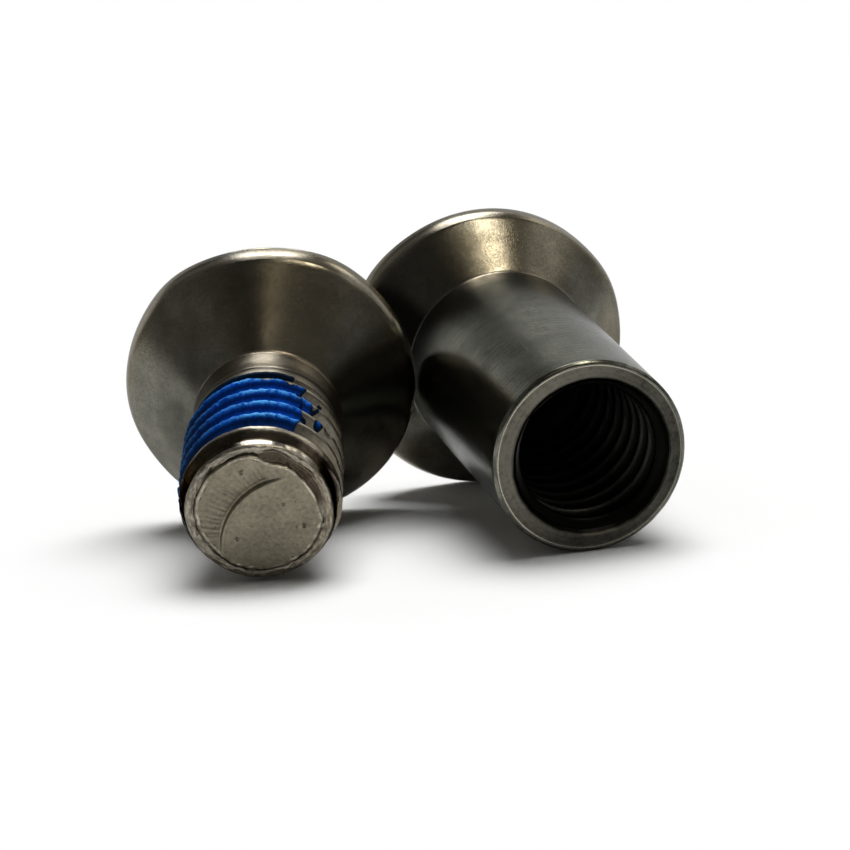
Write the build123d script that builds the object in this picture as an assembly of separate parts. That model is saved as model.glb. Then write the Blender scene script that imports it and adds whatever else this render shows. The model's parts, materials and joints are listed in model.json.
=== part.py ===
from build123d import *
from math import atan2, cos, radians, sin, sqrt, tan
import os

# Binding barrel screw: a countersunk machine screw and the tapped barrel nut that it is
# driven into from the other side of a strap, board or panel. The two halves lie side by
# side, unscrewed, each on the rim of its head and the edge of its open end.
#
# Each half is modelled upright on its own axis: its flat outer face is at Z = 0 and the
# end that enters the work points up. Millimetres and degrees throughout.

# Heads, alike on both halves
head_diameter = 11.0
head_land = 0.8             # straight rim between the flat face and the countersunk cone
countersink_angle = 90.0    # included angle of the cone
face_bevel = 0.15           # broken edge between the flat face and the land

# Hexagon drive in each flat face
drive_across_flats = 4.0
drive_depth = 1.8
drive_lead_in = 0.2         # width of the chamfer round the mouth of the hexagon
drive_floor_angle = 120.0   # cone left by the drill under the hexagon

# Screw
screw_length = 11.4         # over the head
thread_diameter = 5.96
thread_pitch = 1.0
thread_flank_angle = 60.0
crest_flat_share = 1 / 8    # of the pitch
thread_depth_share = 0.6134  # of the pitch
neck_round = 1.0            # fillet where the cone runs into the shank
plain_neck_length = 0.873   # unthreaded shank between that fillet and the first turn
plain_tip_length = 1.2      # from the end of the last turn to the tip
tip_taper_length = 0.55     # the tip narrows over this length, then over the bevel
tip_bevel_length = 0.2
tip_edge_diameter = 5.48    # between the taper and the bevel
tip_face_diameter = 4.62

# Nylon locking patch bonded over the thread
patch_setback = 1           # whole turns left bare below it
patch_turns = 5
patch_thickness = 0.06
patch_span = 150.0          # part of the thread's circumference that it covers
patch_turn = 131.0          # middle of the patch, from the screw's right, seen from the tip

# Barrel nut
barrel_length = 14.2        # over the head
barrel_diameter = 7.3
barrel_neck_round = 0.2
mouth_bevel = 0.1
tap_drill_diameter = 5.0
drill_point_angle = 118.0
web_thickness = 0.7         # left between the point of the hole and that of the drive
mouth_countersink_diameter = 6.05

# How the two halves lie
screw_heading = -92.19      # direction of each axis on the floor, from head to open end
barrel_heading = -75.73
barrel_behind = 4.312       # from the screw's face centre to the barrel's, on the floor
resting_gap = 0.05          # left between the two halves
slide_steps = 12

countersink_slope = tan(radians(countersink_angle / 2))
head_radius = head_diameter / 2
thread_radius = thread_diameter / 2
barrel_radius = barrel_diameter / 2
screw_neck = head_land + (head_radius - thread_radius) / countersink_slope
barrel_neck = head_land + (head_radius - barrel_radius) / countersink_slope

drive_point = drive_depth + drive_across_flats / 2 / tan(radians(drive_floor_angle / 2))

# Corners of both heads as (radius, height), from the middle of the face to the cone
head_outline = [
    (0, 0),
    (head_radius - face_bevel, 0),
    (head_radius, face_bevel),
    (head_radius, head_land),
]

# The fillet at the screw's neck reaches this far along the cone and along the shank
neck_round_reach = neck_round * tan(radians(countersink_angle / 4))
thread_start = screw_neck + neck_round_reach + plain_neck_length
root_radius = thread_radius - thread_pitch * thread_depth_share
last_crest_height = screw_length - tip_bevel_length - tip_taper_length


def lathe(outline, rounded_corner=None, round_radius=0.0):
    """Turn an outline of (radius, height) corners about Z, with one corner rounded if asked."""
    corners = [Vector(radius, 0, height) for radius, height in outline]
    face = make_face(Polyline(*corners, close=True)).face()
    if rounded_corner:
        radius, height = rounded_corner
        vertex = face.vertices().sort_by_distance((radius, 0, height))[0]
        face = face.fillet_2d(round_radius, [vertex])
    return revolve(face, Axis.Z)


def drive_socket():
    """Hexagon drive with a chamfered mouth and a drill-point floor, cut up from Z = 0."""
    flat_radius = drive_across_flats / 2
    corner_radius = drive_across_flats / sqrt(3)
    hexagon = extrude(RegularPolygon(corner_radius, 6), drive_depth)
    mouth_radius = corner_radius + drive_lead_in
    bore = lathe(
        [
            (0, 0),
            (mouth_radius, 0),
            (flat_radius, mouth_radius - flat_radius),
            (flat_radius, drive_depth),
            (0, drive_point),
        ]
    )
    return hexagon + bore


def groove_corner(radius, side, skin=0.0):
    """Corner of the thread groove's section, as (radius, height from its middle).

    Args:
        radius: distance from the screw's axis.
        side: -1 for the flank nearer the head, 1 for the one nearer the tip.
        skin: thickness of a skin on the flanks, which narrows the groove.
    """
    crest_gap = thread_pitch * (1 - crest_flat_share)
    depth = thread_radius - radius + 2 * skin
    half_width = crest_gap / 2 - depth * tan(radians(thread_flank_angle / 2))
    return radius, side * half_width


def thread_helix(radius, height):
    """Path that starts on +X and climbs one pitch a turn, as the thread does."""
    return Helix(pitch=thread_pitch, height=height, radius=radius)


def section_face(corners):
    """Flat section on the XZ plane through corners given as (radius, height)."""
    points = [(radius, 0, height) for radius, height in corners]
    return make_face(Polyline(*points, close=True))


def thread_groove():
    """Helical tool that cuts the groove between the turns of the screw's thread.

    The groove is a V with a flat bottom that runs from thread_start to the plain tip.
    """
    overshoot = thread_pitch * crest_flat_share / 2
    outside_radius = thread_radius + overshoot
    section = section_face(
        [
            groove_corner(root_radius, -1),
            groove_corner(outside_radius, -1),
            groove_corner(outside_radius, 1),
            groove_corner(root_radius, 1),
        ]
    )
    path = thread_helix(outside_radius, screw_length - plain_tip_length - thread_start)
    return Pos(0, 0, thread_start) * sweep(section, path=path, is_frenet=True)


def make_screw():
    """Countersunk screw: turned blank with a bevelled tip, rolled thread, hexagon drive."""
    blank = lathe(
        [
            *head_outline,
            (thread_radius, screw_neck),
            (thread_radius, last_crest_height),
            (tip_edge_diameter / 2, screw_length - tip_bevel_length),
            (tip_face_diameter / 2, screw_length),
            (0, screw_length),
        ],
        (thread_radius, screw_neck),
        neck_round,
    )
    return blank - thread_groove() - drive_socket()


def make_locking_patch():
    """Nylon skin over part of the thread, following its crests, flanks and roots.

    The section is a band of even thickness that zigzags over several grooves. It is
    carried round the screw along the thread's own helix, so it stays on the same turns.
    """
    inside = []
    outside = []
    for turn in range(patch_turns):
        middle = turn * thread_pitch
        for radius, side in ((thread_radius, -1), (root_radius, -1), (root_radius, 1), (thread_radius, 1)):
            corner_radius, height = groove_corner(radius, side)
            inside.append((corner_radius, middle + height))
            corner_radius, height = groove_corner(radius + patch_thickness, side, patch_thickness)
            outside.append((corner_radius, middle + height))
    section = section_face(inside + outside[::-1])
    climb_per_degree = thread_pitch / 360
    path = thread_helix(thread_radius, patch_span * climb_per_degree)
    first_side = patch_turn - patch_span / 2
    foot = thread_start + patch_setback * thread_pitch + first_side * climb_per_degree
    return Pos(0, 0, foot) * Rot(0, 0, first_side) * sweep(section, path=path, is_frenet=True)


def make_barrel_nut():
    """Countersunk barrel nut: turned outside, blind tapped hole and hexagon drive."""
    blank = lathe(
        [
            *head_outline,
            (barrel_radius, barrel_neck),
            (barrel_radius, barrel_length - mouth_bevel),
            (barrel_radius - mouth_bevel, barrel_length),
            (0, barrel_length),
        ],
        (barrel_radius, barrel_neck),
        barrel_neck_round,
    )
    drill_radius = tap_drill_diameter / 2
    mouth_radius = mouth_countersink_diameter / 2
    hole_point = drive_point + web_thickness
    hole = lathe(
        [
            (0, barrel_length),
            (mouth_radius, barrel_length),
            (drill_radius, barrel_length - (mouth_radius - drill_radius)),
            (drill_radius, hole_point + drill_radius / tan(radians(drill_point_angle / 2))),
            (0, hole_point),
        ]
    )
    return blank - hole - drive_socket()


def lying_place(heading, end_radius, end_height):
    """Place that lays an upright half on the floor, on its head's rim and its open end.

    The two edges that meet the floor are circles, so the axis tilts by the drop from one
    radius to the other over the length between them.

    Args:
        heading: direction on the floor from the head to the open end.
        end_radius: radius of the edge at the open end that meets the floor.
        end_height: height of that edge on the upright half.
    """
    tilt = atan2(head_radius - end_radius, end_height - head_land)
    face_height = head_radius * cos(tilt) + head_land * sin(tilt)
    along = radians(heading)
    axis = Vector(cos(along) * cos(tilt), sin(along) * cos(tilt), -sin(tilt))
    right = Vector(-sin(along), cos(along), 0)
    return Location(Plane(origin=(0, 0, face_height), x_dir=right, z_dir=axis))


screw_upright = make_screw()
patch_upright = make_locking_patch()
screw_place = lying_place(screw_heading, thread_radius, last_crest_height)
barrel_place = lying_place(barrel_heading, barrel_radius, barrel_length - mouth_bevel)

screw = screw_place * screw_upright
locking_patch = screw_place * patch_upright

# The barrel nut starts well to the screw's right and slides towards it until only the
# resting gap is left. No step is longer than the room still there, so they never meet.
slide = head_diameter + screw_length + barrel_length
barrel_nut = Pos(slide, barrel_behind, 0) * barrel_place * make_barrel_nut()
for step in range(slide_steps):
    room = screw.distance_to(barrel_nut) - resting_gap
    barrel_nut = Pos(-room, 0, 0) * barrel_nut

# Origin on the floor, under the middle of the two halves together
box = screw.bounding_box().add(barrel_nut.bounding_box())
to_middle = Pos(-(box.min.X + box.max.X) / 2, -(box.min.Y + box.max.Y) / 2, -box.min.Z)

os.makedirs("parts", exist_ok=True)
export_step(to_middle * screw, "parts/screw.step")
export_step(to_middle * locking_patch, "parts/locking_patch.step")
export_step(to_middle * barrel_nut, "parts/barrel_nut.step")
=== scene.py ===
"""Binding barrel screw: the two halves of a fastener, lying open side by side.

A countersunk machine screw with a blue nylon locking patch lies beside the tapped barrel
nut that it is driven into. Every size is in millimetres, measured on the half's own axis:
heights run from the flat face of the head (0) to the open end, and turns run round the
axis from the half's right, anticlockwise as seen from the open end.
"""

import json
import logging
import math
from dataclasses import dataclass
from enum import Enum

import bpy
import numpy as np
from mathutils import Matrix


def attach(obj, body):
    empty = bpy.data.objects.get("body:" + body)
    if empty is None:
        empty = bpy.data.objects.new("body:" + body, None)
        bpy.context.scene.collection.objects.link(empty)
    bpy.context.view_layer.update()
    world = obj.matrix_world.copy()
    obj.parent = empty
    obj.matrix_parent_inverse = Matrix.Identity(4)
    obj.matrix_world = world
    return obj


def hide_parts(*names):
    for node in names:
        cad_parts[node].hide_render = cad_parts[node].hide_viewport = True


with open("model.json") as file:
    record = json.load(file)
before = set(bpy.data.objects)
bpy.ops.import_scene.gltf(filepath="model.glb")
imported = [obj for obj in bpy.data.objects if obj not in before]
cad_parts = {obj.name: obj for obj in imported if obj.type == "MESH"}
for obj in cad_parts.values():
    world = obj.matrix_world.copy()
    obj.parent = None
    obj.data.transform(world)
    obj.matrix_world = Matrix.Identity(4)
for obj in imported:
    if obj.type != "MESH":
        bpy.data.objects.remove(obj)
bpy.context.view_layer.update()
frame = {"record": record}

MM = 0.001
COLUMNS = 276

Array = np.ndarray
Socket = bpy.types.NodeSocket
Tree = bpy.types.NodeTree
Material = bpy.types.Material
Colour = tuple[float, float, float]
Spot = tuple[float, float, float]
PAINTED_SHADE_COLOUR: Colour = (0.010, 0.011, 0.012)
GRIME: Colour = (0.012, 0.011, 0.009)
WARM_CAST: Colour = (1.0, 0.84, 0.66)
WARM_LIGHT: Colour = (1.0, 0.93, 0.80)
WHITE: Colour = (1.0, 1.0, 1.0)

log = logging.getLogger("binding_barrel")


# ---------------------------------------------------------------- small shape functions


def smoothstep(low: float, high: float, value: Array) -> Array:
    """Ease from 0 at low to 1 at high: 3t^2 - 2t^3 with t the clipped share of the way.

    Args:
        low: value at which the ease starts.
        high: value at which it ends; it may be the smaller of the two.
        value: where to read it.

    Returns:
        The eased values, in the shape of value.
    """
    share = np.clip((value - low) / (high - low), 0.0, 1.0)
    return share * share * (3.0 - 2.0 * share)


def soft_clamp(value: Array, softness: float) -> Array:
    """Clamp between 0 and 1 with rounded corners.

    It is half of sqrt(v^2 + e^2) - sqrt((v - 1)^2 + e^2) + 1.

    Args:
        value: what to clamp.
        softness: e in the formula, the radius of the two corners.

    Returns:
        The clamped values.
    """
    low, high = np.sqrt(value**2 + softness**2), np.sqrt((value - 1.0) ** 2 + softness**2)
    return 0.5 * (low - high + 1.0)


def bell(value: Array, middle: float, width: float) -> Array:
    """Bell curve of height 1: exp(-((value - middle) / width)^2)."""
    return np.exp(-(((value - middle) / width) ** 2))


def turn_gap(turn: Array, middle: float) -> Array:
    """Signed angle in degrees from middle to turn, the short way round."""
    return (np.degrees(turn) - middle + 180.0) % 360.0 - 180.0


def bell_at(turn: Array, middle: float, width: float) -> Array:
    """Bell curve of height 1 round the axis, about an angle in degrees."""
    return bell(turn_gap(turn, middle), 0.0, width)


def bells_round(turn: Array, spots: tuple[Spot, ...]) -> Array:
    """Sum of bells round the axis, each given as (middle, width, rise)."""
    return sum(rise * bell_at(turn, middle, width) for middle, width, rise in spots)


def ripple(
    turn: Array, height: Array, seed: int, coarse: int, fine: float, waves: int = 14
) -> Array:
    """Smooth unevenness about 0: a sum of sines of whole turns round and free rates along.

    Each wave is sin(m * turn + n * height + p) / waves^0.5, with m a whole number so that
    it closes round the piece.

    Args:
        turn: angles in radians.
        height: heights in millimetres.
        seed: picks the waves.
        coarse: most waves round the piece.
        fine: most radians per millimetre along it.
        waves: how many are summed.

    Returns:
        Values that mostly lie between -1 and 1.
    """
    draw = np.random.default_rng(seed)
    rounds = draw.integers(1, coarse + 1, waves) * draw.choice([-1, 1], waves)
    rates = draw.uniform(-fine, fine, waves)
    phases = draw.uniform(0.0, 2.0 * np.pi, waves)
    total = np.zeros(np.broadcast(turn, height).shape)
    for m, n, p in zip(rounds, rates, phases):
        total = total + np.sin(m * turn + n * height + p)
    return total / math.sqrt(waves)


def uneven(
    turn: Array, height: Array, seed: int, coarse: int, fine: float, octaves: int = 4
) -> Array:
    """Unevenness at several scales: ripples of doubled rates and 0.62 times the size, added.

    Args:
        turn: angles in radians.
        height: heights in millimetres.
        seed: picks the waves.
        coarse: most waves round the piece at the first scale.
        fine: most radians per millimetre along it at the first scale.
        octaves: how many scales are added.

    Returns:
        Values that mostly lie between -1 and 1.
    """
    shares = 0.62 ** np.arange(octaves)
    parts = [
        share * ripple(turn, height, seed + step, coarse * 2**step, fine * 2**step)
        for step, share in enumerate(shares)
    ]
    return sum(parts) / shares.sum() * 1.5


def rounded(knots: list[tuple[float, float]], cuts: int = 2) -> Array:
    """Profile through straight runs with its corners cut.

    Each cut replaces a corner by the points a quarter and three quarters along the runs
    that meet there, so repeated cuts close in on a smooth curve.

    Args:
        knots: (radius, height) corners in order.
        cuts: how many times the corners are cut.

    Returns:
        Array of (radius, height) rows, with the two ends kept.
    """
    line = np.array(knots, dtype=float)
    for _ in range(cuts):
        before, after = line[:-1], line[1:]
        pairs = np.stack([0.75 * before + 0.25 * after, 0.25 * before + 0.75 * after], axis=1)
        line = np.vstack([line[:1], pairs.reshape(-1, 2), line[-1:]])
    return line


def cone_to_shank(
    corner: Array, radius: float, fillet: float, top: float, sweep: Array, steps: int
) -> Array:
    """Profile over the land's corner, straight down the cone and round the neck's fillet.

    The fillet's rows stand at radius + fillet * (1 - cos(a)) and top - fillet * sin(a).

    Args:
        corner: (radius, height) rows over the land's corner.
        radius: radius of the shank under the neck.
        fillet: radius of the rounding in the neck.
        top: height at which the fillet has run into the shank.
        sweep: angles a of the fillet's rows, in degrees.
        steps: rows that the cone is cut into, both ends counted.

    Returns:
        Array of (radius, height) rows.
    """
    angle = np.radians(sweep)
    bend = np.stack(
        [radius + fillet * (1.0 - np.cos(angle)), top - fillet * np.sin(angle)], axis=-1
    )
    shares = np.linspace(0.0, 1.0, steps)[1:-1, None]
    return np.vstack([corner, corner[-1] + shares * (bend[0] - corner[-1]), bend])


# ---------------------------------------------------------------- grids and their meshes


@dataclass(frozen=True)
class Place:
    """Where a half lies: the centre of its flat face and its three directions."""

    origin: Array
    right: Array
    up: Array
    along: Array

    @classmethod
    def from_mount(cls, mount: str, back: float) -> "Place":
        """Read a half's place from the mount in the middle of its hexagon drive.

        Args:
            mount: name of the mount, whose axis points out of the flat face.
            back: distance in millimetres from the flat face to the mount.

        Returns:
            The half's place, with right level with the floor.
        """
        found = next(m for m in frame["record"]["mounts"] if m["name"] == mount)
        out = np.array(found["axis"], dtype=float)
        along = -out / np.linalg.norm(out)
        right = np.array([-along[1], along[0], 0.0])
        right /= np.linalg.norm(right)
        origin = np.array(found["pos_m"], dtype=float) / MM - back * along
        return cls(origin, right, np.cross(along, right), along)

    def points(self, turn: Array, radius: Array, height: Array) -> Array:
        """Points in the row frame from turns, radii and heights on the half's axis.

        Args:
            turn: angles in radians.
            radius: distances from the axis in millimetres.
            height: heights in millimetres.

        Returns:
            Places in metres, with x, y and z along the last axis.
        """
        spot = (
            self.origin
            + (radius * np.cos(turn))[..., None] * self.right
            + (radius * np.sin(turn))[..., None] * self.up
            + height[..., None] * self.along
        )
        return spot * MM

    def euler(self) -> tuple[float, float, float]:
        """Turn of the half's directions, as the angles of a Mapping node."""
        axes = Matrix(np.column_stack([self.right, self.up, self.along]).tolist())
        return tuple(axes.to_euler("XYZ"))


@dataclass
class Skin:
    """A turned surface as a grid: one row a step along the profile, one column a turn."""

    turn: Array
    radius: Array
    height: Array
    wear_and_painted_light: Array
    finish: Array

    @classmethod
    def gather(cls, turn: Array, parts: list[tuple]) -> "Skin":
        """Stack parts of a profile into one grid.

        Args:
            turn: angles of the columns, in radians.
            parts: (radius, height, wear and painted light, steel) for each part. All but steel
                spread over rows and columns; one value a column follows turn.

        Returns:
            The whole grid.
        """
        grids = []
        for radius, height, wear_and_painted_light, steel in parts:
            sizes = [np.atleast_1d(size) for size in (radius, height)]
            radius, height = (
                size[:, None] if size.ndim == 1 and size.shape != turn.shape else size
                for size in sizes
            )
            shape = np.broadcast_shapes(
                np.atleast_2d(radius).shape, np.atleast_2d(height).shape, (1, len(turn))
            )
            finish = float(STEEL_NUMBER[steel])
            grids.append([np.broadcast_to(v, shape) for v in (radius, height, wear_and_painted_light, finish)])
        radius, height, wear_and_painted_light, finish = (np.vstack([g[i] for g in grids]) for i in range(4))
        return cls(turn, radius, height, wear_and_painted_light, finish[:, 0].astype(int))

    def refinish(self, old: "Steel", new: "Steel", low: float, high: float = np.inf) -> None:
        """Give rows of one finish another, between two heights read on the first column.

        Args:
            old: finish that is looked for.
            new: finish that takes its place.
            low: height above which rows are changed.
            high: height below which they are.
        """
        row = self.height[:, 0]
        found = (self.finish == STEEL_NUMBER[old]) & (row > low) & (row < high)
        self.finish[found] = STEEL_NUMBER[new]


def columns_round() -> Array:
    """Angles of the columns of a turned grid, in radians."""
    return np.linspace(0.0, 2.0 * np.pi, COLUMNS, endpoint=False)


def mesh_piece(
    name: str, points: Array, quads: Array, fans: Array, finish: Array
) -> bpy.types.Object:
    """Make a smooth-shaded object at the origin from points, four- and three-sided faces.

    Args:
        name: name of the object.
        points: (n, 3) places in metres.
        quads: (q, 4) corner numbers.
        fans: (t, 3) corner numbers.
        finish: material number of each face, quads first.

    Returns:
        The new object, linked to the scene.
    """
    mesh = bpy.data.meshes.new(name)
    mesh.from_pydata(points.tolist(), [], quads.tolist() + fans.tolist())
    mesh.polygons.foreach_set("use_smooth", np.ones(len(mesh.polygons), dtype=bool))
    mesh.polygons.foreach_set("material_index", finish.astype(np.int32))
    mesh.validate()
    piece = bpy.data.objects.new(name, mesh)
    bpy.context.scene.collection.objects.link(piece)
    return piece


def note_on_points(piece: bpy.types.Object, name: str, values: Array) -> None:
    """Store one number per point of a piece, for its material to read."""
    attribute = piece.data.attributes.new(name, "FLOAT", "POINT")
    attribute.data.foreach_set("value", values.astype(np.float32))


def closed_turning(
    name: str, place: Place, skin: Skin, first: float, last: float
) -> bpy.types.Object:
    """Close a turned grid into a body: rows joined round the axis, a fan at each end.

    Row i and column j give the point radius[i, j] from the axis at turn[j] and
    height[i, j]; the two end points stand on the axis.

    Args:
        name: name of the object.
        place: where the half lies.
        skin: the grid.
        first: height of the end point before the first row.
        last: height of the end point after the last row.

    Returns:
        The body, facing outwards.
    """
    rows, columns = skin.radius.shape
    count = rows * columns
    grid = place.points(skin.turn[None, :], skin.radius, skin.height).reshape(-1, 3)
    ends = place.points(np.zeros(2), np.zeros(2), np.array([first, last]))
    number = np.arange(count).reshape(rows, columns)
    beside = np.roll(number, -1, axis=1)
    quads = np.stack([number[:-1], beside[:-1], beside[1:], number[1:]], axis=-1).reshape(-1, 4)
    start = np.stack([np.full(columns, count), beside[0], number[0]], axis=-1)
    close = np.stack([number[-1], beside[-1], np.full(columns, count + 1)], axis=-1)
    face_finish = np.repeat(np.append(skin.finish[:-1], skin.finish[[0, -1]]), columns)
    fans = np.vstack([start, close])
    piece = mesh_piece(name, np.vstack([grid, ends]), quads, fans, face_finish)
    note_on_points(piece, "wear_and_painted_light", np.append(skin.wear_and_painted_light.ravel(), [0.0, 0.0]))
    return piece


# ---------------------------------------------------------------- node trees


class Graph:
    """Adds nodes to one tree, with their settings and links given in one call."""

    def __init__(self, tree: Tree) -> None:
        """Start on an empty tree."""
        self.tree = tree
        tree.nodes.clear()

    def add(self, kind: str, inputs: dict | None = None, **settings: object) -> bpy.types.Node:
        """Add a node.

        Args:
            kind: the node's type, without the ShaderNode prefix.
            inputs: value or output socket for each input, by name or number.
            settings: the node's own options.

        Returns:
            The node.
        """
        full = kind if kind.startswith("Node") else "ShaderNode" + kind
        node = self.tree.nodes.new(full)
        for option, value in settings.items():
            setattr(node, option, value)
        for socket, value in (inputs or {}).items():
            if isinstance(value, Socket):
                self.tree.links.new(value, node.inputs[socket])
            else:
                node.inputs[socket].default_value = value
        return node

    def maths(self, operation: str, *values: object, clamp: bool = False) -> Socket:
        """Output of a Math node on one to three values."""
        inputs = dict(enumerate(values))
        return self.add("Math", inputs, operation=operation, use_clamp=clamp).outputs[0]

    def plus(self, first: object, second: object) -> Socket:
        """Output of a Math node that adds two values."""
        return self.maths("ADD", first, second)

    def times(self, first: object, second: object, clamp: bool = False) -> Socket:
        """Output of a Math node that multiplies two values."""
        return self.maths("MULTIPLY", first, second, clamp=clamp)

    def noise(self, vector: Socket, scale: object, **more: float) -> Socket:
        """Output of a Noise Texture node; more gives its Detail, Roughness or Distortion."""
        return self.add("TexNoise", {"Vector": vector, "Scale": scale, **more}).outputs[0]

    def spread(
        self,
        value: Socket,
        low: float,
        high: float,
        to_low: float = 0.0,
        to_high: float = 1.0,
    ) -> Socket:
        """Output of a smooth Map Range node from low..high to to_low..to_high."""
        inputs = {0: value, 1: low, 2: high, 3: to_low, 4: to_high}
        return self.add("MapRange", inputs, interpolation_type="SMOOTHSTEP").outputs[0]

    def blend(self, share: object, first: object, second: object, mode: str = "MIX") -> Socket:
        """Mix two colours.

        Args:
            share: how much of the second one there is.
            first: socket, or a plain colour of three numbers.
            second: the same.
            mode: blend type of the Mix node.

        Returns:
            The mixed colour.
        """
        first, second = (c + (1.0,) if isinstance(c, tuple) else c for c in (first, second))
        inputs = {0: share, 6: first, 7: second}
        return self.add("Mix", inputs, data_type="RGBA", blend_type=mode).outputs[2]

    def group(self, tree: Tree, vector: Socket, **values: float) -> bpy.types.Node:
        """Group node fed by a vector, with its own values for the inputs that are named."""
        return self.add("Group", {"Vector": vector, **values}, node_tree=tree)


def new_group(
    name: str, inputs: dict[str, float | None], outputs: list[str]
) -> tuple[Tree, Graph, dict]:
    """Start a shader node group.

    Args:
        name: name of the group.
        inputs: default value by name, where None stands for a vector.
        outputs: names of its numbers.

    Returns:
        The tree, a graph on it, and its input sockets by name.
    """
    tree = bpy.data.node_groups.new(name, "ShaderNodeTree")
    for label, value in inputs.items():
        kind = "NodeSocketVector" if value is None else "NodeSocketFloat"
        socket = tree.interface.new_socket(name=label, in_out="INPUT", socket_type=kind)
        if value is not None:
            socket.default_value = value
    for label in outputs:
        tree.interface.new_socket(name=label, in_out="OUTPUT", socket_type="NodeSocketFloat")
    graph = Graph(tree)
    entry = graph.add("NodeGroupInput")
    return tree, graph, {label: entry.outputs[label] for label in inputs}


def make_grain_group() -> Tree:
    """Group that gives the fine grain and the cloudy tone of tumbled, plated steel.

    Returns:
        The group. Its Tone runs about 0 to 1 with 0.5 the plain metal, and its Height
        feeds a Bump node.
    """
    inputs = {"Vector": None, "Grain": 9.0, "Cloud": 0.7}
    tree, graph, given = new_group("plated_grain", inputs, ["Tone", "Height"])
    fine = graph.noise(given["Vector"], given["Grain"], Detail=3.0, Roughness=0.65)
    cloud = graph.noise(given["Vector"], given["Cloud"], Detail=4.0, Roughness=0.6)
    tone = graph.plus(graph.times(fine, 0.5), graph.times(cloud, 0.5))
    graph.add("NodeGroupOutput", {"Tone": tone, "Height": fine})
    return tree


def make_turning_group() -> Tree:
    """Group that gives the fine rings a lathe leaves round the axis.

    The rings are noise read along height plus distance from the axis, so they stay round
    on shanks, cones and faces alike. A second, coarser noise breaks them up.

    Returns:
        The group, with Rings as its output, about 0 to 1.
    """
    inputs = {"Vector": None, "Rate": 14.0, "Wander": 0.25}
    tree, graph, given = new_group("lathe_rings", inputs, ["Rings"])
    parts = graph.add("SeparateXYZ", {0: given["Vector"]})
    flat = graph.add("CombineXYZ", {0: parts.outputs[0], 1: parts.outputs[1], 2: 0.0})
    reach = graph.add("VectorMath", {0: flat.outputs[0]}, operation="LENGTH")
    drift = graph.noise(given["Vector"], 0.8, Detail=2.0)
    travel = graph.plus(parts.outputs[2], reach.outputs["Value"])
    travel = graph.plus(travel, graph.times(drift, given["Wander"]))
    rings = graph.add(
        "TexNoise",
        {"W": graph.times(travel, given["Rate"]), "Scale": 1.0, "Detail": 3.0, "Roughness": 0.7},
        noise_dimensions="1D",
    )
    graph.add("NodeGroupOutput", {"Rings": rings.outputs[0]})
    return tree


def make_scratch_group() -> Tree:
    """Group that gives sparse hairline scratches in two directions, from handling in bulk.

    Returns:
        The group, with Scratch as its output: 0 on clean metal, 1 in a scratch.
    """
    inputs = {"Vector": None, "Length": 0.35, "Density": 0.5}
    tree, graph, given = new_group("handling_scratches", inputs, ["Scratch"])
    marks = []
    for angles in ((0.4, 0.2, 0.6), (1.1, -0.5, 2.1)):
        stretched = {"Vector": given["Vector"], "Rotation": angles, "Scale": (7.0, 7.0, 0.35)}
        turned = graph.add("Mapping", stretched).outputs[0]
        lines = graph.noise(turned, 1.6, Detail=1.0, Distortion=0.3)
        marks.append(graph.spread(lines, 0.655, 0.70))
    there = graph.spread(graph.noise(given["Vector"], given["Length"], Detail=1.0), 0.42, 0.62)
    scratch = graph.times(graph.maths("MAXIMUM", *marks), there)
    graph.add("NodeGroupOutput", {"Scratch": graph.times(scratch, given["Density"])})
    return tree


class Groups:
    """The node groups that the materials share, each made once."""

    def __init__(self) -> None:
        """Make them."""
        self.grain = make_grain_group()
        self.turning = make_turning_group()
        self.scratches = make_scratch_group()


# ---------------------------------------------------------------- finishes


def new_material(name: str) -> tuple[Material, Graph]:
    """Start a material, with a graph on its empty tree.

    Args:
        name: what it is called.

    Returns:
        The material and its graph.
    """
    material = bpy.data.materials.new(name)
    material.use_nodes = True
    return material, Graph(material.node_tree)


def close_material(
    graph: Graph, base: Socket, rough: Socket, height: Socket, **constants: object
) -> None:
    """End a material: a Principled BSDF with a bump, and the output.

    Args:
        graph: the material's graph.
        base: its colour.
        rough: its roughness.
        height: relief in millimetres.
        constants: plain values for other inputs, with _ for the spaces in their names.
    """
    bump = graph.add("Bump", {"Height": height, "Distance": MM, "Strength": 1.0}).outputs[0]
    inputs = {"Base Color": base, "Roughness": rough, "Normal": bump}
    inputs |= {name.replace("_", " "): value for name, value in constants.items()}
    shader = graph.add("BsdfPrincipled", inputs)
    graph.add("OutputMaterial", {"Surface": shader.outputs[0]})


def place_vector(graph: Graph, place: Place) -> Socket:
    """Object coordinates turned to a half's own axis, in millimetres."""
    inputs = {
        "Vector": graph.add("TexCoord").outputs["Object"],
        "Location": tuple(place.origin * MM),
        "Rotation": place.euler(),
        "Scale": (MM, MM, MM),
    }
    return graph.add("Mapping", inputs, vector_type="TEXTURE").outputs[0]


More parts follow.
